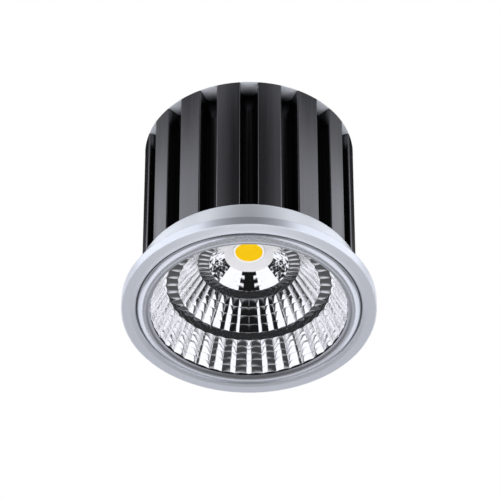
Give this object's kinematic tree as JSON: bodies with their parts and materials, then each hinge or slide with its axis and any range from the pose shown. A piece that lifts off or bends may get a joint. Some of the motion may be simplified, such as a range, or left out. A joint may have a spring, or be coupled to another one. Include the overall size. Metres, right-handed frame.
{
  "type": "led module",
  "caption": "Round spotlight LED module with a black finned heat sink, silver front ring, tiered faceted reflector, chip-on-board source and rear terminal block.",
  "frame": {"origin": "on the axis, level with the crest of the retaining ring, on which the module stands when it is set down on its face", "axes": "+Z along the module's axis, from the light's mouth to the terminal block; -Y is the side of the wire entries, and a slot of the heat sink faces it"},
  "size_m": [0.05, 0.05, 0.0517],
  "materials": {
    "black_anodised": "satin black anodised",
    "silver_anodised": "satin silver anodised",
    "metallised": "moulded plastic with a bright metal coating",
    "phosphor": "yellow phosphor in silicone",
    "white_silicone": "matte white",
    "white_plastic": "matte white moulding",
    "substrate": "white ceramic",
    "thermal_pad": "soft grey pad",
    "steel": "zinc plated",
    "brass": "plain",
    "red_insulation": "smooth",
    "black_insulation": "smooth",
    "copper": "bare copper"
  },
  "bodies": {
    "root": {"heat_sink": "black_anodised", "front_ring": "silver_anodised", "retaining_ring": "silver_anodised", "rear_plate": "silver_anodised", "reflector": "metallised", "cob_phosphor": "phosphor", "cob_dam": "white_silicone", "cob_holder": "white_plastic", "terminal_body": "white_plastic", "cob_substrate": "substrate", "thermal_pad": "thermal_pad", "holder_screws": "steel", "ring_screws": "steel", "rear_plate_screws": "steel", "clamp_screws": "steel", "fixing_screw": "steel", "holder_contacts": "brass", "terminal_contacts": "brass", "lead_positive": "red_insulation", "lead_negative": "black_insulation", "lead_tips": "copper"}
  },
  "joints": []
}
